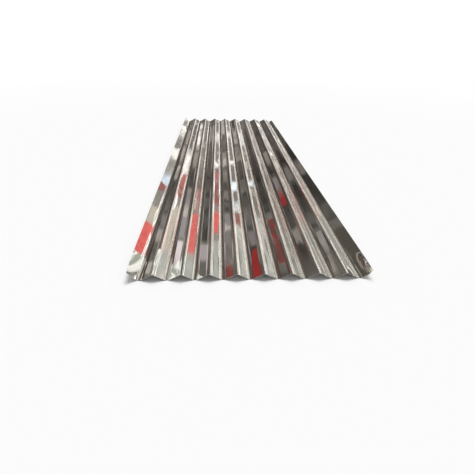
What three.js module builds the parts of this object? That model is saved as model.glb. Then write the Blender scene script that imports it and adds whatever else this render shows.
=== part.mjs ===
// A corrugated roofing sheet: one strip of thin galvanised steel, rolled into rounded waves.
//
// Millimetres. X runs across the waves, Y along them and Z is up. The sheet lies on its troughs
// at Z = 0, with the origin under its middle trough, halfway along.

import * as THREE from 'three';

// Driving dimensions.
const length = 2000;
const stripWidth = 762; // the flat width of the strip, before it was rolled into waves
const thickness = 0.4;
const pitch = 76.2; // from one crest to the next
const depth = 18; // from the top of a crest down to the top of a trough
const bendRadius = 11; // to the middle of the metal, the same at crests and troughs
const troughs = 9; // each long edge ends on the flank outside the last trough

// The strip's right edge was slit a little out of line with the waves, so the edge flank on that
// side is wider than the left one at the near end, and narrower at the far end.
const rightEdgeExtra = { near: 4, far: -18 };

// Bent corners, from handling. Each turn is in degrees at the very end of the sheet, and it dies
// out over its reach along the edge. A flare lifts the whole edge flank about its trough. A lip
// is only the rim of the flank, of the given width, turned up along a crease.
const nearLeftFlare = { turn: 17, reach: 100 };
const nearRightLip = { turn: 32, reach: 120 };
const farLeftLip = { turn: 34, reach: 70 };
const lipWidth = 14;

// How finely the solid follows the bends: across a wave, and along the sheet at its corners.
const facetsPerBend = 5; // odd, so that a level strip runs along each crest and trough
const cornerStations = 6;

// The flanks are straight, and tangent to the bends at both ends.
const halfPitch = pitch / 2;
const bendClearance = 2 * bendRadius - depth;
const flankAngle =
  Math.asin((2 * bendRadius) / Math.hypot(halfPitch, bendClearance)) - Math.atan2(bendClearance, halfPitch);
const flankLength = (halfPitch - 2 * bendRadius * Math.sin(flankAngle)) / Math.cos(flankAngle);
const wavesWidth = 2 * (troughs - 1) * (flankLength + 2 * bendRadius * flankAngle);
const edgeFlankLength = (stripWidth - wavesWidth) / 2 - bendRadius * flankAngle;

// A point of the section lies in the middle of the metal. Its miter points to the top face, and
// is long enough that the facets beside it keep the full thickness.
function sectionPoint(x, z, tilt, halfTurn) {
  const reach = 1 / Math.cos(halfTurn);
  return { x, z, miterX: -Math.sin(tilt) * reach, miterZ: Math.cos(tilt) * reach };
}

// One bend, facing up for a trough (+1) and down for a crest (-1). Its facets touch the arc from
// outside, so crests and troughs keep their full depth.
function bend(middleX, facing) {
  const halfTurn = flankAngle / (facetsPerBend + 1);
  const cornerRadius = bendRadius / Math.cos(halfTurn);
  const bottomZ = facing > 0 ? 0 : depth;
  return Array.from({ length: facetsPerBend + 1 }, (_, corner) => {
    const angle = halfTurn * (2 * corner - facetsPerBend);
    const x = middleX + cornerRadius * Math.sin(angle);
    const z = bottomZ + facing * (bendRadius - cornerRadius * Math.cos(angle));
    return sectionPoint(x, z, facing * angle, halfTurn);
  });
}

// All the waves, from the left trough to the right one.
function waves() {
  const bends = 2 * troughs - 1;
  return Array.from({ length: bends }, (_, index) => {
    const middleX = (index - (bends - 1) / 2) * halfPitch;
    return bend(middleX, index % 2 === 0 ? 1 : -1);
  }).flat();
}

// A corner bend's turn, in radians, at a distance from the end that it is on.
function turnAt({ turn, reach }, distance) {
  const faded = Math.min(distance / reach, 1);
  return THREE.MathUtils.degToRad(turn) * 0.5 * (1 + Math.cos(Math.PI * faded));
}

// The edge flank outside the last trough, on the left (-1) or right (+1): its crease and its rim.
function edgeFlank(side, width, flareTurn, lipTurn) {
  const rootX = side * ((troughs - 1) * halfPitch + bendRadius * Math.sin(flankAngle));
  const rootZ = bendRadius * (1 - Math.cos(flankAngle));
  const slope = flankAngle + flareTurn;
  const lipSlope = slope + lipTurn;
  const creaseX = rootX + side * (width - lipWidth) * Math.cos(slope);
  const creaseZ = rootZ + (width - lipWidth) * Math.sin(slope);
  const crease = sectionPoint(creaseX, creaseZ, side * (slope + lipTurn / 2), lipTurn / 2);
  const rimX = creaseX + side * lipWidth * Math.cos(lipSlope);
  const rimZ = creaseZ + lipWidth * Math.sin(lipSlope);
  return [crease, sectionPoint(rimX, rimZ, side * lipSlope, 0)];
}

// The section at a distance from the near end: its top face from left to right, and its bottom
// face below it, point for point.
function sectionAt(fromNear) {
  const flare = turnAt(nearLeftFlare, fromNear);
  const leftLip = turnAt(farLeftLip, length - fromNear);
  const rightLip = turnAt(nearRightLip, fromNear);
  const extra = THREE.MathUtils.lerp(rightEdgeExtra.near, rightEdgeExtra.far, fromNear / length);
  const [leftCrease, leftRim] = edgeFlank(-1, edgeFlankLength, flare, leftLip);
  const [rightCrease, rightRim] = edgeFlank(1, edgeFlankLength + extra, 0, rightLip);
  const middle = [leftRim, leftCrease, ...waves(), rightCrease, rightRim];
  const y = fromNear - length / 2;
  const face = (offset) =>
    middle.map(({ x, z, miterX, miterZ }) => {
      return new THREE.Vector3(x + miterX * offset, y, z + thickness / 2 + miterZ * offset);
    });
  return { top: face(thickness / 2), bottom: face(-thickness / 2) };
}

// Sections stand close together where a corner bends, and the long middle is one straight run.
function stations() {
  const nearReach = Math.max(nearLeftFlare.reach, nearRightLip.reach);
  const steps = Array.from({ length: cornerStations + 1 }, (_, step) => step / cornerStations);
  const near = steps.map((share) => share * nearReach);
  const far = steps.map((share) => length - (1 - share) * farLeftLip.reach);
  return [...near, ...far];
}

// Skins the sections into one closed solid, with a flat cut at each end.
function loft(sections) {
  const across = sections[0].top.length;
  const ring = 2 * across;
  const points = sections.flatMap(({ top, bottom }) => [...top, ...bottom.toReversed()]);
  const triangles = [];
  const quad = (a, b, c, d) => triangles.push(a, b, c, a, c, d);
  for (let section = 0; section < sections.length - 1; section++) {
    for (let corner = 0; corner < ring; corner++) {
      const here = section * ring + corner;
      const beside = section * ring + ((corner + 1) % ring);
      quad(here, beside, beside + ring, here + ring);
    }
  }
  const farRing = (sections.length - 1) * ring;
  for (let left = 0; left < across - 1; left++) {
    const below = ring - 1 - left;
    quad(left, below, below - 1, left + 1);
    quad(farRing + left, farRing + left + 1, farRing + below - 1, farRing + below);
  }
  const geometry = new THREE.BufferGeometry().setFromPoints(points);
  geometry.setIndex(triangles);
  geometry.computeVertexNormals();
  return geometry;
}

const galvanised = new THREE.MeshStandardMaterial({ color: 0xb4b6b3, metalness: 1, roughness: 0.2 });

const sheet = new THREE.Mesh(loft(stations().map(sectionAt)), galvanised);
sheet.name = 'corrugated_sheet';

const model = new THREE.Group();
model.add(sheet);

export default model;
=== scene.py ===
# %% [markdown]
# # One corrugated roofing sheet
#
# The real sheet starts as a flat strip of thin galvanised steel. A line of rollers presses it into
# rounded waves, a shear cuts it to length, and handling bends its corners. This script makes the
# sheet in the same order, and then gives it the bright, slightly streaky finish of new galvanised
# steel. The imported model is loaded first, because the sheet has to fill exactly its space.

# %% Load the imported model
from math import asin, atan2, cos, degrees, hypot, pi, radians, sin, tan

import bmesh
import bpy
from mathutils import Matrix, Vector


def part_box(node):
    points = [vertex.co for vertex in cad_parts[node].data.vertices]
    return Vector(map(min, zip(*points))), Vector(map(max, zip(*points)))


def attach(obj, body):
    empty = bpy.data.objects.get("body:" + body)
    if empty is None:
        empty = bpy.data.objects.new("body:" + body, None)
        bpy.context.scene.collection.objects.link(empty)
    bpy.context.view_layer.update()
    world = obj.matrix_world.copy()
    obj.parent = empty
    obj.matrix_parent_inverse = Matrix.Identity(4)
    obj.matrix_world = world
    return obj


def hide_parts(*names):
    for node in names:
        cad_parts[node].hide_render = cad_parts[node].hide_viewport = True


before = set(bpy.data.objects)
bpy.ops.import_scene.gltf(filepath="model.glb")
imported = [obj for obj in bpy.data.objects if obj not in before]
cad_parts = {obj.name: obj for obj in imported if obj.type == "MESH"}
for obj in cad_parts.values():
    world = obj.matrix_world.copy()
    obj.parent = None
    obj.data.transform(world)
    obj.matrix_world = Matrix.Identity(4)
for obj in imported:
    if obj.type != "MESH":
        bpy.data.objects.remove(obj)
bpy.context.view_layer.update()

# %% [markdown]
# ## The sizes of the sheet
#
# A few sizes drive everything: how far apart the waves are, how deep they are, and how tight the
# rollers bend the metal. The slope of the flanks follows from those three, because a flank is
# straight and runs smoothly into the bend at each of its ends. The length is read from the packed
# model. Lengths are in metres and X runs across the waves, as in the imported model.

# %% Sizes
mm = 0.001
pitch = 76.2 * mm
depth = 18 * mm
bend_radius = 11 * mm
thickness = 0.4 * mm
strip_width = 762 * mm
troughs = 9
right_edge_extra = {"near": 4 * mm, "far": -18 * mm}

node_low, node_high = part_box("corrugated_sheet")
near_y, far_y = node_low[1], node_high[1]
length = far_y - near_y

half_pitch = pitch / 2
bend_clearance = 2 * bend_radius - depth
flank_angle = asin(2 * bend_radius / hypot(half_pitch, bend_clearance)) - atan2(bend_clearance, half_pitch)
bend_tangent = bend_radius * tan(flank_angle)
flank_length = (half_pitch - 2 * bend_radius * sin(flank_angle)) / cos(flank_angle)
waves_width = 2 * (troughs - 1) * (flank_length + 2 * bend_radius * flank_angle)
edge_flank_length = (strip_width - waves_width) / 2 - bend_radius * flank_angle
print(f"flanks slope {degrees(flank_angle):.2f} degrees and are {flank_length / mm:.2f} mm long")

# %% [markdown]
# ## A helper for picking by hand
#
# Modelling operators work on what is selected. With a mouse one clicks on the edges; here a small
# test picks them by where they are. Each helper selects exactly what its test says yes to.

# %% Selecting by place
close, very_close = 1 * mm, 0.1 * mm


def select_where(kind, test):
    """Selects the edges or vertices of the sheet being edited for which the test is true."""
    bpy.ops.mesh.select_all(action="DESELECT")
    mesh = bmesh.from_edit_mesh(bpy.context.edit_object.data)
    picked = [element for element in getattr(mesh, kind) if test(element)]
    for element in picked:
        element.select_set(True)
    bmesh.update_edit_mesh(bpy.context.edit_object.data)
    return len(picked)


def runs_along(edge):
    """True for an edge that runs along the waves."""
    a, b = (vert.co for vert in edge.verts)
    return abs(a.y - b.y) > abs(a.x - b.x)


def middle_x(edge):
    """How far to the right the middle of an edge is."""
    return (edge.verts[0].co.x + edge.verts[1].co.x) / 2

# %% [markdown]
# ## The strip, folded sharply
#
# A rounded wave is easiest to make as a sharp zigzag whose folds are bevelled afterwards, because
# the bevel then makes each bend a true arc. The zigzag is a plane of sixteen fields. Every other
# fold is lifted, which makes the crests, and the outer edges are extruded up along the slope.

# %% Fold the strip
bpy.ops.object.select_all(action="DESELECT")
fold_overshoot = bend_radius * (1 / cos(flank_angle) - 1)
sharp_trough_z = thickness / 2 - fold_overshoot
sharp_depth = depth + 2 * fold_overshoot
folds = 2 * troughs - 1

bpy.ops.mesh.primitive_grid_add(x_subdivisions=folds - 1, y_subdivisions=1, size=1)
sheet = bpy.context.object
sheet.name = "rolled_sheet"
bpy.ops.object.mode_set(mode="EDIT")
bpy.ops.mesh.select_all(action="SELECT")
bpy.ops.transform.resize(value=((folds - 1) * half_pitch, length, 1))
bpy.ops.transform.translate(value=(0, (near_y + far_y) / 2, sharp_trough_z))
select_where("verts", lambda vert: round(vert.co.x / half_pitch) % 2 == 1)
bpy.ops.transform.translate(value=(0, 0, sharp_depth))

# %% Turn up the edge flanks
lip_width = 14 * mm
left_edge_lift, right_edge_lift = radians(0.8), radians(1)
out_along_flank = Vector((cos(flank_angle), 0, sin(flank_angle)))
crease_reach = bend_tangent + edge_flank_length - lip_width

for side, slope in ((-1, flank_angle + left_edge_lift), (1, flank_angle + right_edge_lift)):
    outward = Vector((side * cos(slope), 0, sin(slope)))
    for reach in (crease_reach, lip_width):
        outermost = max(side * vert.co.x for vert in bmesh.from_edit_mesh(sheet.data).verts)
        select_where("edges", lambda edge: runs_along(edge) and side * middle_x(edge) > outermost - close)
        bpy.ops.mesh.extrude_edges_move(TRANSFORM_OT_translate={"value": outward * reach})

# The right edge runs out of line, so its crease and rim are drawn out at one end and in at the other.
last_fold_x = (troughs - 1) * half_pitch
for end_y, extra in ((near_y, right_edge_extra["near"]), (far_y, right_edge_extra["far"])):
    select_where("verts", lambda vert: vert.co.x > last_fold_x + close and abs(vert.co.y - end_y) < close)
    bpy.ops.transform.translate(value=out_along_flank * extra)
print(f"folded a zigzag of {len(sheet.data.vertices)} corners")

# %% [markdown]
# ## Round bends
#
# The bevel's offset is the tangent length of the roller's radius, so each bend starts and ends
# where an arc of that radius would. Its round profile is a true arc only on a right-angled fold.
# These folds are shallower, so the profile is set for a curve that reaches as deep as the arc.

# %% Bevel the folds
bend_segments = 8
arc_profile = ((1 + 2 * cos(flank_angle)) / (2 * (1 + cos(flank_angle)))) ** 2
select_where("edges", lambda edge: runs_along(edge) and abs(middle_x(edge)) < last_fold_x + close)
bpy.ops.mesh.bevel(
    offset_type="OFFSET", offset=bend_tangent, segments=bend_segments, profile=arc_profile, affect="EDGES"
)
print(f"rounded {folds} folds to a radius of {bend_radius / mm:.0f} mm")

# %% [markdown]
# ## The set that rollers leave in a flank
#
# Rollers bend the metal a little too far, because it springs back. Each flank keeps a trace of
# that: beside each bend it is a few degrees steeper, and its middle is a little flatter. On bright
# metal this draws a thin line of light along both sides of a flank. Each flank is cut lengthways by
# planes where the slope changes, and these rows are pressed down near a crest and up near a trough.

# %% Cut the flanks lengthways and press them
steeper = radians(5)
steep_width = 3.6 * mm
middle_of_flank = flank_length / 2
rows_from_bend = (0.5 * steep_width, steep_width, 1.5 * steep_width)


def pressed(from_bend):
    """How far a row at this distance from a bend is pressed, square to the flank."""
    deepest = steeper * steep_width
    rising = from_bend / steep_width
    falling = (middle_of_flank - from_bend) / (middle_of_flank - steep_width)
    return deepest * min(rising, falling)


rows = []
for fold in range(folds):
    fold_x = (fold - (folds - 1) / 2) * half_pitch
    towards_middle_z = 1 if fold % 2 == 0 else -1
    for side in (-1, 1):
        for from_bend in rows_from_bend:
            row_x = fold_x + side * (bend_radius * sin(flank_angle) + from_bend * cos(flank_angle))
            if abs(row_x) < last_fold_x:
                rows.append((row_x, towards_middle_z * pressed(from_bend) / cos(flank_angle)))

for row_x, _ in rows:
    bpy.ops.mesh.select_all(action="SELECT")
    bpy.ops.mesh.bisect(plane_co=(row_x, 0, 0), plane_no=(1, 0, 0))
for row_x, press in rows:
    select_where("verts", lambda vert: abs(vert.co.x - row_x) < very_close)
    bpy.ops.transform.translate(value=(0, 0, press))
print(f"pressed each flank by {pressed(steep_width) / mm:.2f} mm beside its bends")

# %% [markdown]
# ## Enough faces to bend
#
# The edge flanks are cut lengthways, and the whole sheet crossways, most closely where its corners
# will bend. The long middle waits until they are bent, so that the bending has fewer rows to move.

# %% Cut the edge flanks and the ends
edge_flank_cuts = 3
last_bend_x = last_fold_x + bend_radius * sin(flank_angle)
select_where("edges", lambda edge: not runs_along(edge) and abs(middle_x(edge)) > last_bend_x)
bpy.ops.mesh.subdivide(number_cuts=edge_flank_cuts)

near_zone, far_zone = 130 * mm, 80 * mm
near_zone_cuts, middle_cuts, far_zone_cuts = 19, 59, 11
near_zone_end, far_zone_end = near_y + near_zone, far_y - far_zone
for cut_y in (near_zone_end, 0, far_zone_end):
    bpy.ops.mesh.select_all(action="SELECT")
    bpy.ops.mesh.bisect(plane_co=(0, cut_y, 0), plane_no=(0, 1, 0))


def cut_crossways(low_y, high_y, cuts):
    """Cuts the part of the sheet between two places along it into equal rows."""
    select_where(
        "edges",
        lambda edge: runs_along(edge) and low_y < (edge.verts[0].co.y + edge.verts[1].co.y) / 2 < high_y,
    )
    bpy.ops.mesh.subdivide(number_cuts=cuts)


cut_crossways(near_y, near_zone_end, near_zone_cuts)
cut_crossways(far_zone_end, far_y, far_zone_cuts)
bpy.ops.object.mode_set(mode="OBJECT")
print(f"cut the sheet into {len(sheet.data.polygons)} faces")

# %% [markdown]
# ## Corners bent by handling
#
# Sheets are slid and dragged by their corners. Here the near left corner is flared up with its
# whole edge flank, and two others have only a lip turned up along a crease. Each bend is full at
# the end of the sheet and fades along the edge, so it is made row by row: everything outside a
# pivot is turned about it. Sharing one turn among a few pivots side by side keeps the crease soft.

# %% Bend the corners
near_left_flare = {"side": -1, "end": near_y, "turn": radians(17), "reach": 100 * mm}
near_right_lip = {"side": 1, "end": near_y, "turn": radians(32), "reach": 120 * mm}
far_left_lip = {"side": -1, "end": far_y, "turn": radians(34), "reach": 70 * mm}
decimals = 5
columns_in_lip = edge_flank_cuts + 1
columns_in_edge_flank = 2 * columns_in_lip
lip_pivots = (columns_in_lip + 1, columns_in_lip, columns_in_lip - 1)
flare_pivots = (columns_in_edge_flank + 2, columns_in_edge_flank + 1, columns_in_edge_flank)


def row_from_rim(y, side):
    """The vertices of the row at y, from one rim of the sheet to the other."""
    mesh = bmesh.from_edit_mesh(sheet.data)
    row = [vert for vert in mesh.verts if abs(vert.co.y - y) < very_close]
    return sorted(row, key=lambda vert: -side * vert.co.x)


def bend_corner(side, end, turn, reach, pivots):
    """Turns the outer part of each row up about its pivots, which count columns from the rim."""
    mesh = bmesh.from_edit_mesh(sheet.data)
    row_ys = sorted({round(vert.co.y, decimals) for vert in mesh.verts if abs(vert.co.y - end) < reach})
    for y in row_ys:
        faded = turn * (1 + cos(pi * abs(y - end) / reach)) / 2
        for pivot in pivots:
            row = row_from_rim(y, side)
            centre, outside = row[pivot].co.copy(), {vert.index for vert in row[:pivot]}
            select_where("verts", lambda vert: vert.index in outside)
            # Without a window this operator turns the other way round, so a positive turn lifts +X.
            share = side * faded / len(pivots)
            bpy.ops.transform.rotate(value=share, orient_axis="Y", center_override=centre)


bpy.ops.object.mode_set(mode="EDIT")
bend_corner(**near_left_flare, pivots=flare_pivots)
bend_corner(**near_right_lip, pivots=lip_pivots)
bend_corner(**far_left_lip, pivots=lip_pivots)
cut_crossways(near_zone_end, 0, middle_cuts)
cut_crossways(0, far_zone_end, middle_cuts)
bpy.ops.object.mode_set(mode="OBJECT")
highest_corner = max(vert.co.z for vert in sheet.data.vertices)
print(f"corners bent to a highest point of {highest_corner / mm:.1f} mm")

# %% [markdown]
# ## A sheet that is never quite flat
#
# Thin metal buckles a little between its bends, and bright metal shows it: the mirrored shapes
# waver. Two Displace modifiers with cloud textures give a long slow buckle and a shorter ripple,
# both drawn out along the waves, where the metal is free to move. A vertex group holds the bottoms
# of the troughs still, because they lie on the floor. Solidify then gives the sheet its thickness,
# half of it on each side, and smooth shading rounds all but the cut edges. The finished sheet then
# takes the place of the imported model's plain one.

# %% Buckle the metal
def buckle(name, size, height, stretch):
    """Pushes the free metal in and out by a cloud pattern, drawn out along the waves."""
    pattern = bpy.data.textures.new(name, "CLOUDS")
    pattern.noise_scale = 1
    pattern.noise_depth = 1
    space = bpy.data.objects.new(name + "_space", None)
    space.scale = (size, size * stretch, size)
    bpy.context.collection.objects.link(space)
    modifier = sheet.modifiers.new(name, "DISPLACE")
    modifier.texture = pattern
    modifier.texture_coords = "OBJECT"
    modifier.texture_coords_object = space
    modifier.vertex_group = free_metal.name
    modifier.mid_level = 0.5
    modifier.strength = height
    bpy.ops.object.modifier_apply(modifier=modifier.name)
    bpy.data.objects.remove(space)


clear_of_floor = 4 * mm
free_metal = sheet.vertex_groups.new(name="free_metal")
for vert in sheet.data.vertices:
    free_metal.add([vert.index], min(1, max(0, (vert.co.z - thickness) / clear_of_floor)), "REPLACE")
buckle("long_buckle", size=70 * mm, height=0.9 * mm, stretch=3)
buckle("short_ripple", size=26 * mm, height=0.13 * mm, stretch=6)
sheet.vertex_groups.clear()

# %% Give it its thickness
smooth_up_to = radians(40)
gauge = sheet.modifiers.new("gauge", "SOLIDIFY")
gauge.thickness = thickness
gauge.offset = 0
bpy.ops.object.modifier_apply(modifier=gauge.name)
bpy.ops.object.shade_smooth_by_angle(angle=smooth_up_to)

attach(sheet, "root")
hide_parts("corrugated_sheet")
print(f"the sheet has {2 * len(sheet.data.polygons)} triangles")

# %% [markdown]
# ## Shader sums in plain Python
#
# A node tree is a long way to write a formula. This class wraps one output of a node, so that
# `mask * 0.3 + 1` adds the two Math nodes that work it out, `mask.mix(a, b)` blends two colours,
# and `node` adds any other kind. A few helpers make the masks and colours that most materials need.

# %% Wires
class Wire:
    """One output of a node. Arithmetic on it adds Math nodes to the same tree."""

    def __init__(self, tree, socket=None):
        self.tree, self.socket = tree, socket

    def node(self, kind, settings=None, inputs=None, stops=(), output=0):
        """Adds a node: its settings and a ramp's stops first, then what each input takes."""
        made = self.tree.nodes.new(kind)
        for name, value in (settings or {}).items():
            setattr(made, name, value)
        # A new ramp already has two stops, so only the others are added.
        for index, (at, colour) in enumerate(stops):
            stop = made.color_ramp.elements[index] if index < 2 else made.color_ramp.elements.new(at)
            stop.position, stop.color = at, colour
        for name, value in (inputs or {}).items():
            if isinstance(value, Wire):
                self.tree.links.new(value.socket, made.inputs[name])
            else:
                made.inputs[name].default_value = value
        return Wire(self.tree, made.outputs[output] if made.outputs else None)

    def output(self, name):
        """Another output of the same node."""
        return Wire(self.tree, self.socket.node.outputs[name])

    def math(self, operation, *others, clamp=False):
        """A Math node that takes this value and the others in turn."""
        inputs = dict(enumerate((self, *others)))
        return self.node("ShaderNodeMath", {"operation": operation, "use_clamp": clamp}, inputs)

    def split(self):
        """The X, Y and Z of a vector."""
        made = self.node("ShaderNodeSeparateXYZ", inputs={"Vector": self})
        return [Wire(self.tree, socket) for socket in made.socket.node.outputs]

    def mix(self, first, second):
        """The first colour where this value is 0, and the second where it is 1.

        A Mix node's factor is its input 0, its colours are 6 and 7, and its mixed colour is output 2.
        """
        return self.node("ShaderNodeMix", {"data_type": "RGBA"}, {0: self, 6: first, 7: second}, output=2)

    def __add__(self, other):
        return self.math("ADD", other)

    def __sub__(self, other):
        return self.math("SUBTRACT", other)

    def __mul__(self, other):
        return self.math("MULTIPLY", other)

    def __truediv__(self, other):
        return self.math("DIVIDE", other)

    def __rsub__(self, other):
        return self * -1 + other

    __radd__, __rmul__ = __add__, __mul__

# %% Masks, colours and empty materials
def above(value, low, soft):
    """1 where a wire's value is above a number and 0 below it, with an edge as wide as soft."""
    return ((value - low) / soft).math("ADD", 0.5, clamp=True)


def between(value, low, high, soft):
    """1 where a wire's value is between two numbers and 0 outside, with edges as wide as soft."""
    return above(value, low, soft) * (1 - above(value, high, soft))


def colour(red, green, blue, brightness=1):
    """A colour as the nodes take it."""
    return (red * brightness, green * brightness, blue * brightness, 1)


def grey(brightness):
    """A grey as the nodes take it."""
    return colour(1, 1, 1, brightness)


def new_material(name):
    """An empty material, and the wire to build it from."""
    material = bpy.data.materials.new(name)
    material.use_nodes = True
    material.node_tree.nodes.clear()
    return material, Wire(material.node_tree)

# %% [markdown]
# ## The lines that rollers draw
#
# The metal is a mirror that the rollers have drawn out. Fine lines run along the waves and blur
# what it mirrors sideways but not lengthways. Anisotropic gloss would do that too, but it needs a
# direction all over the mesh, so the lines are noise here, drawn out along Y, and go into the bump.
# Wider streaks and the smudges of handling change the roughness, and so how sharp the mirror is.

# %% Draw the streaks
metal, wire = new_material("galvanised_steel")
spot = wire.node("ShaderNodeTexCoord", output="Object")


def streaks(per_metre_across, per_metre_along, detail=2.0):
    """A noise pattern drawn out along the waves, from 0 to 1."""
    grain = (1 / per_metre_across, 1 / per_metre_along, 1 / per_metre_across)
    scaled = spot.node("ShaderNodeMapping", {"vector_type": "TEXTURE"}, {"Vector": spot, "Scale": grain})
    return spot.node("ShaderNodeTexNoise", inputs={"Vector": scaled, "Scale": 1.0, "Detail": detail})


lines_per_metre = 700
smudge_level, smudge_edge = 0.56, 0.12

roller_lines = streaks(lines_per_metre, per_metre_along=1)
roller_bands = streaks(per_metre_across=60, per_metre_along=1.2)
smudges = streaks(per_metre_across=14, per_metre_along=6, detail=4.0)
smudged = above(smudges, smudge_level, smudge_edge)
print(f"the finest roller lines are {1 / lines_per_metre / mm:.1f} mm apart")

# %% [markdown]
# ## Zinc, darker in the bottoms of the troughs
#
# New zinc is a pale, slightly warm grey. In the bottoms of the troughs the metal is darker, browner
# and duller, up to a small height above the floor, more in some places than in others. This could
# be painted on by hand, but a height in the mesh's own coordinates always finds the troughs.

# %% Galvanised steel
bright_zinc, dull_zinc, trough_bottom_colour = colour(0.76, 0.75, 0.72), colour(0.64, 0.62, 0.58), colour(0.42, 0.40, 0.35)
trough_bottom_height, least_trough_bottom_share = 1.6 * mm, 0.4
dulled_by_bands, dulled_by_smudges = 0.5, 0.3
rolled_gloss, band_haze, smudge_haze, trough_bottom_haze = 0.02, 0.04, 0.06, 0.28
line_height, band_height = 0.001 * mm, 0.01 * mm

above_floor = spot.split()[2]
# Darker, browner and duller in the bottoms of the troughs, more where the smudge pattern is high.
in_trough_bottom = (1 - above(above_floor, trough_bottom_height, trough_bottom_height)) * (smudges * (1 - least_trough_bottom_share) + least_trough_bottom_share)
dulled = roller_bands * dulled_by_bands + smudged * dulled_by_smudges
base_colour = in_trough_bottom.mix(dulled.mix(bright_zinc, dull_zinc), trough_bottom_colour)
roughness = rolled_gloss + roller_bands * band_haze + smudged * smudge_haze + in_trough_bottom * trough_bottom_haze
height = roller_lines * line_height + roller_bands * band_height
bump = wire.node("ShaderNodeBump", inputs={"Height": height, "Distance": 1.0, "Strength": 1.0})
surface = wire.node(
    "ShaderNodeBsdfPrincipled",
    inputs={"Base Color": base_colour, "Metallic": 1.0, "Roughness": roughness, "Normal": bump},
)
wire.node("ShaderNodeOutputMaterial", inputs={"Surface": surface})
sheet.data.materials.append(metal)
print(f"galvanised steel takes {len(metal.node_tree.nodes)} nodes")

# %% [markdown]
# ## The camera
#
# A wide lens close to the near end makes the waves run together towards the far end. A constraint
# could aim it at the sheet, but a place and three turns say plainly how it is held: turned a little
# to the right, tipped down, and not quite level.

# %% Place the camera
camera_place = Vector((-0.085, -1.754, 0.579))
turned_right, tipped_down, rolled = radians(3.36), radians(30.4), radians(1.36)
focal_length = 26.16

camera_data = bpy.data.cameras.new("camera")
camera_data.lens = focal_length
camera = bpy.data.objects.new("camera", camera_data)
bpy.context.collection.objects.link(camera)
camera.matrix_world = (
    Matrix.Translation(camera_place)
    @ Matrix.Rotation(-turned_right, 4, "Z")
    @ Matrix.Rotation(pi / 2 - tipped_down, 4, "X")
    @ Matrix.Rotation(rolled, 4, "Z")
)
bpy.context.scene.camera = camera
print(f"the camera is {near_y - camera_place.y:.2f} m from the near end and {camera_place.z:.2f} m up")

# %% [markdown]
# ## A plain pale floor
#
# The floor is matt and pale, and all that it shows is the sheet's soft shadow. A small floor would
# end in an edge, and an endless one in a grey horizon. This one is large, and a few metres out the
# camera, and only the camera, sees it as plain white, like the backdrop above it.

# %% Lay the floor
floor_size, floor_gap, white_from = 60, 0.1 * mm, 3
floor_paint = grey(0.95)

bpy.ops.object.select_all(action="DESELECT")
bpy.ops.mesh.primitive_plane_add(size=floor_size, location=(0, 0, -floor_gap))
floor = bpy.context.object
floor.name = "floor"
material, wire = new_material("pale_floor")
spot = wire.node("ShaderNodeTexCoord", output="Object")
distance = spot.node("ShaderNodeVectorMath", {"operation": "LENGTH"}, {0: spot}, output="Value")
seen = wire.node("ShaderNodeLightPath", output="Is Camera Ray")
matt = wire.node("ShaderNodeBsdfDiffuse", inputs={"Color": floor_paint})
plain_white = wire.node("ShaderNodeEmission", inputs={"Color": grey(1)})
far_out = seen * above(distance, white_from, soft=white_from)
surface = wire.node("ShaderNodeMixShader", inputs={0: far_out, 1: matt, 2: plain_white})
wire.node("ShaderNodeOutputMaterial", inputs={"Surface": surface})
floor.data.materials.append(material)
print("laid a floor", floor_size, "m wide")

# %% [markdown]
# ## What bright metal mirrors
#
# A mirror has no look of its own, so a metal sheet in an empty white studio looks like white paper.
# It needs a room round it. The room could be modelled, but a painted world is lighter, and only
# rays of gloss see it. The waves help: seen from the near end, all that one flank mirrors lies in
# one narrow fan of directions. So the world is painted by two angles, in degrees. The swing is how
# far to the right of straight up a mirrored ray leaves, and it changes from flank to flank. The
# lean is how far the ray tips towards the far end, and it grows along the sheet.

# %% Find where a mirrored ray goes
world = bpy.data.worlds.new("studio")
world.use_nodes = True
world.node_tree.nodes.clear()
bpy.context.scene.world = world
wire = Wire(world.node_tree)
to_right, to_far, upward = wire.node("ShaderNodeTexCoord", output="Generated").split()
swing = to_right.math("ARCTAN2", upward) * degrees(1)
lean = to_far.math("ARCSINE") * degrees(1)
low_down = lean.math("ABSOLUTE")


def ramp_over(angle, low, high, stops):
    """A ramp of colours along one of the angles, each stop a place in degrees and a colour."""
    shares = [((at - low) / (high - low), shade) for at, shade in stops]
    return angle.node("ShaderNodeValToRGB", stops=shares, inputs={"Fac": (angle - low) / (high - low)})


print("each flank turns a ray aside by", round(2 * degrees(flank_angle)), "degrees")

# %% [markdown]
# ## Walls and ceiling
#
# A sheet that is seen from the side or from above mirrors the ceiling. One even light there would
# make it look like matt clay, so the ceiling has soft bands of light along the waves with dark gaps
# between them, and the shade of beams across them. At both ends the room has grey walls. Racks and
# stacks of goods stand along a real workshop's walls, and rows of panels in many greys stand for
# them here. Each row is a few degrees of swing wide, and a little smoke over all keeps any edge from
# being quite straight. On the left the panels stand out more.

# %% Light the ceiling and the end walls
leftmost, rightmost = -90, 90
# Each stop: its swing, and how light the room is there.
ceiling_stops = [
    (-90, 0.22), (-68, 0.28), (-60, 0.46), (-48, 0.46), (-40, 0.20), (-28, 0.26), (-22, 0.85), (-8, 0.90),
    (-2, 0.36), (14, 0.44), (20, 1.00), (32, 1.00), (38, 0.44), (50, 0.50), (58, 0.74), (72, 0.60),
    (90, 0.30),
]
beam_spacing, beam_shade = 26, 0.25
end_wall_stops = [
    (-90, 0.30), (-70, 0.25), (-52, 0.16), (-44, 0.11), (-22, 0.11), (-12, 0.13), (0, 0.14), (15, 0.19),
    (30, 0.31), (40, 0.33), (56, 0.33), (66, 0.36), (78, 0.37), (90, 0.38),
]
ceiling_tint = (1, 0.96, 0.92)

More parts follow.
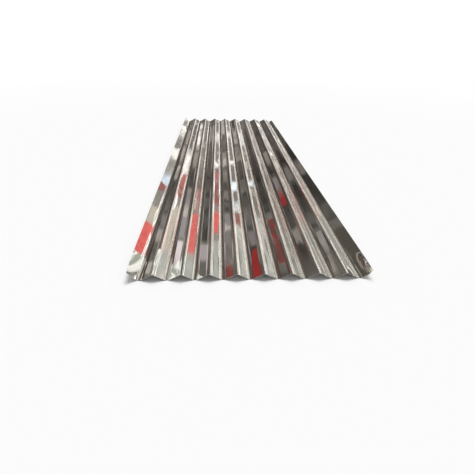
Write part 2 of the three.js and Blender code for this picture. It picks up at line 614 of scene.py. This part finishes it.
bands = [(at, colour(*ceiling_tint, light)) for at, light in ceiling_stops]
ceiling_light = ramp_over(swing, leftmost, rightmost, bands)
beams = (lean * (2 * pi / beam_spacing)).math("SINE") * beam_shade + (1 - beam_shade)
ceiling = wire.node("ShaderNodeVectorMath", {"operation": "SCALE"}, {0: ceiling_light, "Scale": beams})
end_wall = ramp_over(swing, leftmost, rightmost, [(at, grey(light)) for at, light in end_wall_stops])
print("the ceiling's light goes up to", max(light for _, light in ceiling_stops))

# %% Stack the panels
row_width, first_row_starts, panel_height = 7.3, -1.5, 2.7
most_row_shift, smoke_sway = 10, 0.6
panel_face, row_face = (0.12, 0.88), (0.08, 0.8)
gap_light = 0.2

angles = wire.node("ShaderNodeCombineXYZ", inputs={"X": lean, "Y": swing, "Z": 0.0})
smoke = wire.node("ShaderNodeTexNoise", inputs={"Vector": angles, "Scale": 0.55, "Detail": 3.0})
side = swing.math("SIGN")
rows_out = (swing * side - first_row_starts) / row_width
row = rows_out.math("FLOOR")
row_shift = wire.node("ShaderNodeTexWhiteNoise", {"noise_dimensions": "1D"}, {"W": row * side})
run = low_down / panel_height + row_shift * most_row_shift + smoke * smoke_sway
panel = run.math("FLOOR")
panel_number = wire.node("ShaderNodeCombineXYZ", inputs={"X": row * side, "Y": panel, "Z": 0.0})
tone = wire.node("ShaderNodeTexWhiteNoise", inputs={"Vector": panel_number})
on_face = between(run - panel, *panel_face, soft=0.16) * between(rows_out - row, *row_face, soft=0.12)
panel_light = tone * tone * (on_face * (1 - gap_light) + gap_light)
print(f"stacked panels {row_width} by {panel_height} degrees")

# %% Put the wall together
doorway_from, doorway_to = 63, 70.5
lamplit_from, lamplit_to = 67, 76
cream, warm_cream, pinkish = colour(0.98, 0.94, 0.85), colour(1.0, 0.91, 0.83), colour(1.0, 0.87, 0.80)
on_the_left = 1 - above(swing, -5, soft=30)


def by_side(on_right, on_left):
    """A strength that goes from one number on the right of the room to another on its left."""
    return on_the_left * (on_left - on_right) + on_right


panel_strength = by_side(on_right=0.3, on_left=3.5)
smoke_strength = by_side(on_right=0.5, on_left=1.2)
plain_strength = by_side(on_right=0.6, on_left=0)
doorway_shade = by_side(on_right=0.15, on_left=0.45)

stacked = panel_light * panel_strength + smoke * smoke_strength + plain_strength
doorway = between(lean, doorway_from, doorway_to, soft=3)
lamplit = between(lean, lamplit_from, lamplit_to, soft=5)
wall_light = end_wall * stacked * (1 - doorway * doorway_shade)
wall_tint = lamplit.mix(smoke.mix(warm_cream, cream), pinkish)
room = wire.node("ShaderNodeVectorMath", {"operation": "SCALE"}, {0: wall_tint, "Scale": wall_light})
print("the wall is warmest where a ray leans", (lamplit_from + lamplit_to) / 2, "degrees")

# %% [markdown]
# ## Windows in the far wall
#
# Windows and pale goods draw bright bars across a flank, and dark goods draw dim ones. Each could
# be a lamp or a lit plane, but painted into the wall they cost nothing. They stand in columns: a
# column is as wide as the fan of one flank or a little less, and its panes are set one above the
# other by their lean. A column is one ramp, whose alpha says where its panes are. A narrow and tall
# column is seen in a bend, or at the foot of a flank, and makes the bright line along it.

# %% Glaze the windows
white, daylight, pale = (1, 0.97, 0.94), (0.80, 0.92, 1.0), (0.95, 0.97, 0.90)
beige, lilac, dark = (0.86, 0.79, 0.67), (1.0, 0.90, 0.93), (0.30, 0.27, 0.23)
lowest, highest = 40, 80
pane_edge, column_edge = 0.2, 1

# Each column: its swing from and to, and its panes with their paint, brightness and lean from and to.
columns = [
    (31, 35, [(pale, 0.53, 42, 79)]),
    (39, 41.5, [(beige, 0.5, 42, 62)]),
    (27.6, 30.2, [(white, 2.0, 40.3, 79.6)]),
    (35.9, 38.7, [(white, 2.5, 40.3, 79.6)]),
    (42.1, 43.9, [(white, 2.5, 40.3, 79.6)]),
    (40.5, 56, [(pale, 0.6, 42, 54)]),
    (51.8, 55.6, [(white, 1.4, 71, 71.9), (white, 1.5, 75.1, 76.1)]),
    (58.6, 63.5, [
        (daylight, 1.1, 63.6, 65.2), (daylight, 1.5, 67, 68.5),
        (white, 1.4, 71.5, 72.1), (white, 1.3, 75.8, 76.4),
    ]),
    (66.3, 70.6, [(daylight, 1.3, 67.4, 68.3), (white, 0.9, 74, 76.2)]),
    (-69.8, -65.4, [
        (lilac, 1.0, 54, 58.4), (lilac, 0.42, 59, 62.6), (lilac, 0.36, 64.2, 66.6),
        (white, 1.3, 74, 76), (white, 1.2, 76.5, 77.5),
    ]),
    (-61.9, -58.1, [(lilac, 0.5, 55.6, 58.4), (dark, 0.25, 58.9, 61.5)]),
    (-53.8, -50.2, [
        (lilac, 0.24, 55.5, 57.2), (lilac, 0.28, 58.2, 60.6),
        (lilac, 0.34, 61.5, 63.2), (dark, 0.3, 63.6, 64.6),
    ]),
    (-46.4, -42.9, [(dark, 0.2, 57, 57.4), (lilac, 0.27, 57.8, 60.2), (lilac, 0.25, 61.3, 64)]),
    (-33, -29.2, [(lilac, 0.3, 65.2, 67.5)]),
    (-27, -22, [(dark, 0.36, 44, 55.5)]),
]

for swing_low, swing_high, panes in columns:
    stops = []
    for paint, brightness, lean_low, lean_high in panes:
        lit = colour(*paint, brightness)[:3]
        for at, alpha in (
            (lean_low - pane_edge, 0), (lean_low + pane_edge, 1),
            (lean_high - pane_edge, 1), (lean_high + pane_edge, 0),
        ):
            stops.append((at, (*lit, alpha)))
    column = ramp_over(lean, lowest, highest, stops)
    within = between(swing, swing_low, swing_high, column_edge) * column.output("Alpha")
    room = within.mix(room, column)
print("glazed", sum(len(panes) for *_, panes in columns), "panes")

# %% [markdown]
# ## Strip lights
#
# Long tubes hang along the right side of the room. Each could be a thin lamp, but one runs the whole
# length, so it is a line at one swing and a ramp can draw it. Bends mirror it as a thin white line
# from end to end.

# %% Hang the strip lights
strip_swings = (50, 57.2, 65.1, 72.3, 80)
strips_from, strips_to = 25, 85
strip_profile = ((-0.7, 0), (-0.3, 1), (0.7, 1), (1.1, 0))
strip_glow = colour(3.4, 3.3, 3.1)

stops = [(strip + beside, grey(lit)) for strip in strip_swings for beside, lit in strip_profile]
room = ramp_over(swing, strips_from, strips_to, stops).mix(room, strip_glow)
print("hung", len(strip_swings), "strip lights")

# %% [markdown]
# ## What each kind of ray sees
#
# Matt surfaces see a plain soft light, stronger from the far side, so that the floor stays even.
# Gloss sees the room: the ceiling overhead, and the walls where a ray leans well towards an end. The
# camera sees plain white, which makes the backdrop. One sun lamp with a very wide disc adds the soft
# shadow, and gloss doesn't see it.

# %% Show each kind of ray its own studio
walls_start, wall_top_edge = 38, 7
near_side, far_side = grey(0.2), grey(0.7)

mirrored = above(low_down, walls_start, wall_top_edge).mix(ceiling, room)
soft_light = (to_far * 0.5 + 0.5).mix(near_side, far_side)
glossy = wire.node("ShaderNodeLightPath", output="Is Glossy Ray")
seen = wire.node("ShaderNodeLightPath", output="Is Camera Ray")
surroundings = seen.mix(glossy.mix(soft_light, mirrored), grey(1))
background = wire.node("ShaderNodeBackground", inputs={"Color": surroundings, "Strength": 1.0})
wire.node("ShaderNodeOutputWorld", inputs={"Surface": background})
print(f"the world takes {len(world.node_tree.nodes)} nodes")

# %% Hang one soft lamp
lamp_strength, disc_width = 2.1, radians(30)
tipped_to_near, tipped_to_left = radians(30), radians(8)

lamp_data = bpy.data.lights.new("soft_lamp", "SUN")
lamp_data.energy = lamp_strength
lamp_data.angle = disc_width
lamp = bpy.data.objects.new("soft_lamp", lamp_data)
lamp.rotation_euler = (-tipped_to_near, tipped_to_left, 0)
lamp.visible_glossy = False
bpy.context.collection.objects.link(lamp)
print("the lamp's disc is", round(degrees(disc_width)), "degrees wide")

# %% [markdown]
# ## Painted boards
#
# A window in the world is mirrored by every flank and bend that faces it. A board that only one
# flank should mirror has to hang at a real place in the room. Its paint glows by itself, so that no
# lamp has to reach it, and drifts in soft patches between two colours, as real goods and walls do.

# %% Mix the paints
patch_level, patch_edge = 0.5, 0.15


def glowing_paint(name, light, shade, patch_size=70 * mm, one_sided=False):
    """A paint that glows by itself and drifts in patches between two colours."""
    paint, wire = new_material(name)
    spot = wire.node("ShaderNodeTexCoord", output="Object")
    pattern = {"Vector": spot, "Scale": 1 / patch_size, "Detail": 2.0, "Distortion": 1.5}
    patches = wire.node("ShaderNodeTexNoise", inputs=pattern)
    glow_colour = (1 - above(patches, patch_level, patch_edge)).mix(colour(*light), colour(*shade))
    surface = wire.node("ShaderNodeEmission", inputs={"Color": glow_colour, "Strength": 1.0})
    if one_sided:
        behind = wire.node("ShaderNodeNewGeometry", output="Backfacing")
        clear = wire.node("ShaderNodeBsdfTransparent")
        surface = wire.node("ShaderNodeMixShader", inputs={0: behind, 1: surface, 2: clear})
    wire.node("ShaderNodeOutputMaterial", inputs={"Surface": surface})
    paint.cycles.emission_sampling = "NONE"
    return paint


paints = {
    "white": glowing_paint("white_paint", (1.5, 1.46, 1.41), (1.15, 1.10, 1.04)),
    "daylight": glowing_paint("daylight_paint", (1.05, 1.22, 1.40), (0.75, 0.85, 0.98)),
    "cloud": glowing_paint("cloud_paint", (1.0, 1.0, 0.95), (0.36, 0.36, 0.33), patch_size=45 * mm),
    "pale": glowing_paint("pale_paint", (0.64, 0.66, 0.62), (0.50, 0.52, 0.49)),
    "beige": glowing_paint("beige_paint", (0.80, 0.73, 0.62), (0.66, 0.60, 0.51)),
    "warm_grey": glowing_paint("warm_grey_paint", (0.42, 0.39, 0.35), (0.34, 0.31, 0.28)),
    "grey": glowing_paint("grey_paint", (0.44, 0.42, 0.39), (0.30, 0.28, 0.26)),
    "dark": glowing_paint("dark_paint", (0.27, 0.25, 0.21), (0.19, 0.17, 0.14)),
    "red": glowing_paint("red_paint", (1.1, 0.24, 0.21), (0.88, 0.17, 0.16)),
    "rust": glowing_paint("rust_paint", (0.50, 0.20, 0.18), (0.36, 0.14, 0.125)),
    "pink": glowing_paint("pink_paint", (0.70, 0.24, 0.22), (0.50, 0.20, 0.18)),
    "maroon": glowing_paint("maroon_paint", (0.42, 0.045, 0.045), (0.33, 0.035, 0.035)),
    "smoky_red": glowing_paint("smoky_red_paint", (0.11, 0.09, 0.07), (0.36, 0.05, 0.05), 120 * mm),
}
print("mixed", len(paints), "paints")

# %% [markdown]
# ## Hanging a board by its mirror image
#
# Where should a board hang, so that it shows in one flank from here to there along the sheet? It
# could be found by trying. The law of mirrors is quicker: the flank's plane mirrors the camera to a
# point behind it, and a line from that point through a place on the flank goes straight on to what
# is seen there. Each corner of a board is where such a line reaches the board's height. The boards
# are high up and beyond the far end, so from other sides the sheet hardly mirrors them.

# %% Write the law of mirrors
flank_middle_z = (thickness + depth) / 2
flat_part_tilt = radians(27.6)


def mirrored_point(flank_x, along, step, tilt, height):
    """What the camera sees mirrored at a place on a flank, as a point at the given height."""
    normal = Vector((sin(tilt), 0, cos(tilt)))
    place = Vector((flank_x + step * cos(tilt), near_y + along, flank_middle_z - step * sin(tilt)))
    camera_image = camera_place - 2 * normal * (camera_place - place).dot(normal)
    ray = place - camera_image
    return place + ray * (height - place.z) / ray.z


def show_only_in_mirrors(board):
    """Hides a board from everything but gloss."""
    board.visible_camera = board.visible_shadow = False
    board.visible_diffuse = board.visible_transmission = False


def hang_boards(name, flank_x, tilt, height, boards, half_width=12 * mm):
    """Hangs a row of boards for one flank: each from and to how many mm along it, and its paint."""
    corners, faces = [], []
    for first, last, _ in boards:
        corners_before = len(corners)
        for along, side in ((first, -1), (first, 1), (last, 1), (last, -1)):
            corners.append(mirrored_point(flank_x, along * mm, side * half_width, tilt, height))
        faces.append(tuple(range(corners_before, len(corners))))
    mesh = bpy.data.meshes.new(name)
    mesh.from_pydata(corners, [], faces)
    for face, (_, _, paint) in zip(mesh.polygons, boards):
        mesh.materials.append(paints[paint])
        face.material_index = len(mesh.materials) - 1
    row = bpy.data.objects.new(name, mesh)
    bpy.context.collection.objects.link(row)
    show_only_in_mirrors(row)
    print(f"hung {len(boards)} boards as {name}, {height} m up")


def right_facing(crest):
    """The middle of the flank to the right of a crest, the crests being counted from the left."""
    return (crest - troughs / 2) * pitch + half_pitch / 2


def left_facing(crest):
    """The middle of the flank to the left of a crest."""
    return right_facing(crest) - half_pitch

# %% [markdown]
# ## The boards of the right-facing flanks
#
# The flanks that face right are the bright ones. The left edge flank, the widest and plainest to
# see, gets the longest row of boards, and the first five after it get a row each. The last three
# mostly mirror the painted walls. Heights differ so that no row hides another: a ray on its way to a
# high board passes beside the lower ones.

# %% Hang boards for the right-facing flanks
left_edge_middle_x = -0.331
hang_boards(
    "boards_left_edge", left_edge_middle_x, flank_angle + left_edge_lift, height=1.5, half_width=19 * mm,
    boards=[
        (110, 125, "pale"), (125, 300, "red"), (300, 450, "beige"), (450, 610, "grey"), (610, 680, "rust"),
        (680, 800, "daylight"), (800, 1040, "grey"), (1040, 1230, "white"), (1230, 1500, "grey"),
        (1500, 1790, "white"), (1790, 2000, "grey"),
    ],
)
hang_boards(
    "boards_right_1", right_facing(1), flat_part_tilt, height=1.5, half_width=14 * mm,
    boards=[
        (0, 135, "pale"), (135, 450, "beige"), (450, 520, "grey"), (520, 650, "rust"), (650, 790, "pink"),
        (790, 1130, "white"), (1130, 2000, "dark"),
    ],
)
hang_boards(
    "boards_right_2", right_facing(2), flat_part_tilt, height=1.5, half_width=11 * mm,
    boards=[(0, 118, "pale"), (118, 385, "red"), (385, 425, "grey"), (425, 620, "pink")],
)
hang_boards(
    "boards_right_3", right_facing(3), flat_part_tilt, height=1.5, half_width=11 * mm,
    boards=[
        (0, 190, "pale"), (190, 245, "grey"), (245, 400, "red"), (400, 450, "grey"), (450, 690, "rust"),
        (720, 820, "pink"),
    ],
)
hang_boards(
    "boards_right_4", right_facing(4), flat_part_tilt, height=1.2,
    boards=[(0, 290, "cloud"), (300, 385, "rust")],
)
hang_boards("boards_right_5", right_facing(5), flat_part_tilt, height=1, boards=[(0, 360, "cloud")])

# %% [markdown]
# ## A flank that mirrors its neighbour
#
# From this camera the lower half of the seventh right-facing flank doesn't mirror the room. It
# mirrors the flank across the trough, which mirrors the room in turn. Two mirrors in a row turn a
# ray as one gently tilted mirror would, so that is how its boards are hung.

# %% Hang boards for the flank that is mirrored twice
twice_mirrored_x, twice_mirrored_tilt = 0.22, radians(7)
hang_boards(
    "boards_right_7", twice_mirrored_x, twice_mirrored_tilt, height=1.2, half_width=20 * mm,
    boards=[(0, 600, "warm_grey"), (600, 1000, "grey"), (1000, 2000, "warm_grey")],
)

# %% [markdown]
# ## The boards of the left-facing flanks
#
# The flanks that face left are dark, and mirror the dim side of the room. Four of them get one
# dark red board each, and the last gets two grey ones, which hang highest.

# %% Hang boards for the left-facing flanks
for crest, height, half_width, boards in (
    (4, 2.2, 12 * mm, [(-20, 55, "maroon")]),
    (5, 2.2, 10 * mm, [(-20, 134, "maroon")]),
    (6, 1.5, 10 * mm, [(60, 340, "smoky_red")]),
    (7, 2.2, 12 * mm, [(460, 590, "maroon")]),
    (8, 2.6, 11 * mm, [(5, 110, "warm_grey"), (120, 250, "grey")]),
):
    hang_boards(f"boards_left_{crest}", left_facing(crest), -flat_part_tilt, height, boards, half_width)

# %% [markdown]
# ## A card by the flared corner
#
# The near left corner is flared up, so it mirrors another part of the room than the rest of its
# flank: a veined white. A small card stands close by, as a reflector does in a studio, and fills
# the corner and nothing else. Its back is clear, so that the sheet behind it mirrors the room as
# before.

# %% Stand a card by the flared corner
card_place = (-0.2875, near_y + 160 * mm, 88 * mm)
card_size = (105 * mm, 104 * mm, 1)
bpy.ops.object.select_all(action="DESELECT")
bpy.ops.mesh.primitive_plane_add(size=1, location=card_place, rotation=(pi / 2, 0, 0))
card = bpy.context.object
card.name = "corner_card"
card.scale = card_size
bpy.ops.object.transform_apply(location=True, rotation=True, scale=True)
veined_white = glowing_paint(
    "veined_white_paint", (1.25, 1.25, 1.2), (0.50, 0.54, 0.47), patch_size=30 * mm, one_sided=True
)
card.data.materials.append(veined_white)
show_only_in_mirrors(card)
print("the card's front faces", tuple(round(part) for part in card.data.polygons[0].normal))

# %% [markdown]
# ## Finish
#
# The Standard view transform shows a colour as it is written.

# %% Finish
bpy.context.scene.view_settings.view_transform = "Standard"
